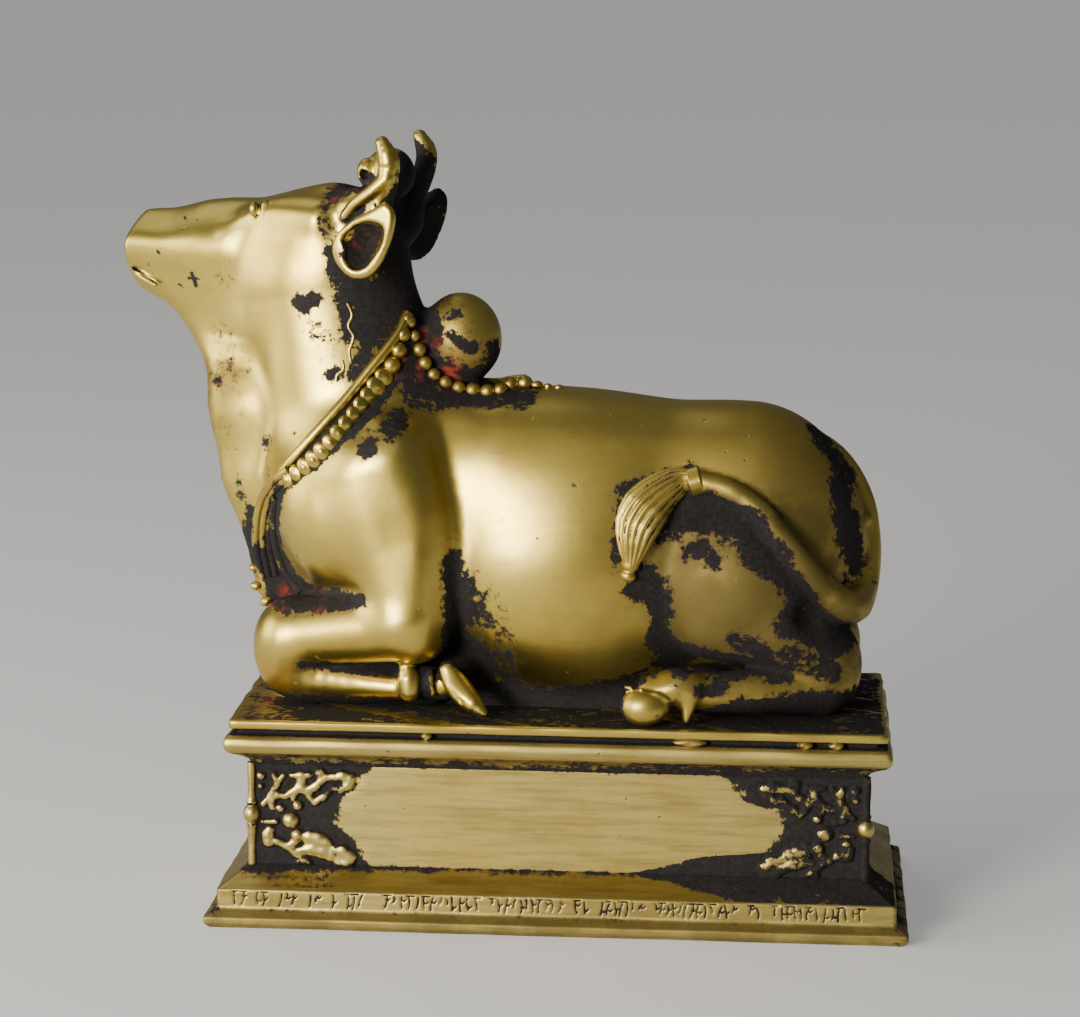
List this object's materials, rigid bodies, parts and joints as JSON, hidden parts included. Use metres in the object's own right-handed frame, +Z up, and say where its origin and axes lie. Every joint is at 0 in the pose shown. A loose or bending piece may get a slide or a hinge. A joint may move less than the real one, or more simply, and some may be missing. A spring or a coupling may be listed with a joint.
{
  "type": "recumbent bull statue",
  "caption": "Recumbent humped bull with a beaded garland and its tail curled over the thigh, cast in brass, on a moulded rectangular plinth.",
  "frame": {"origin": "middle of the plinth's underside, on the surface that it stands on", "axes": "+Z up, +X from the bull's head towards its tail along the plinth, +Y from the bull's left flank to its right"},
  "size_m": [0.2072, 0.081, 0.2007],
  "materials": {
    "bull_brass": "aged satin, dark patina in the hollows",
    "plinth_brass": "aged satin, dark patina in the hollows"
  },
  "bodies": {
    "root": {"nandi_bull": "bull_brass", "plinth": "plinth_brass"}
  },
  "joints": []
}
